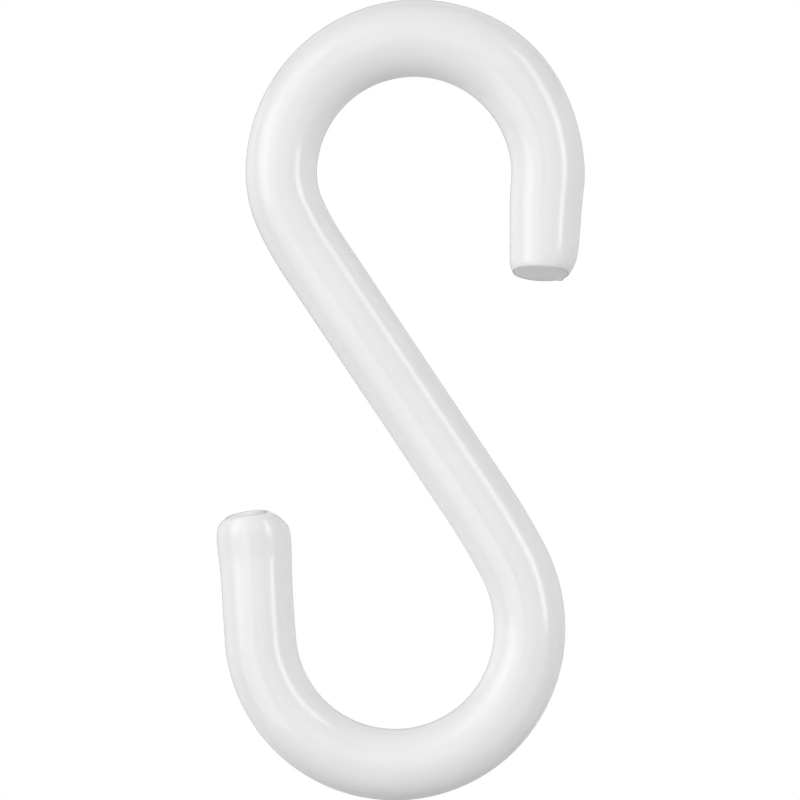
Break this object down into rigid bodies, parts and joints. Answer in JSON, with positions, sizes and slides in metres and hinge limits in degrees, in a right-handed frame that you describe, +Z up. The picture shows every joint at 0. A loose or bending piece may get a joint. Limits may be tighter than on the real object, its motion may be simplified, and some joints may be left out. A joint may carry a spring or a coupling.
{
  "type": "s hook",
  "caption": "S-shaped hook of round wire in a white plastic coat: the upper bend hangs on a rail and the lower bend carries the load.",
  "frame": {"origin": "the rail seat: the inside of the upper bend at its crown, on the rod's middle plane", "axes": "+Z up along the hook's length when it hangs, X across the hook in its plane with the upper leg at +X, Y through the rod's thickness, and the front faces -Y"},
  "size_m": [0.0367, 0.0078, 0.08],
  "materials": {
    "coating": "gloss white dipped plastic coat over steel wire"
  },
  "bodies": {
    "root": {"hook": "coating"}
  },
  "joints": []
}
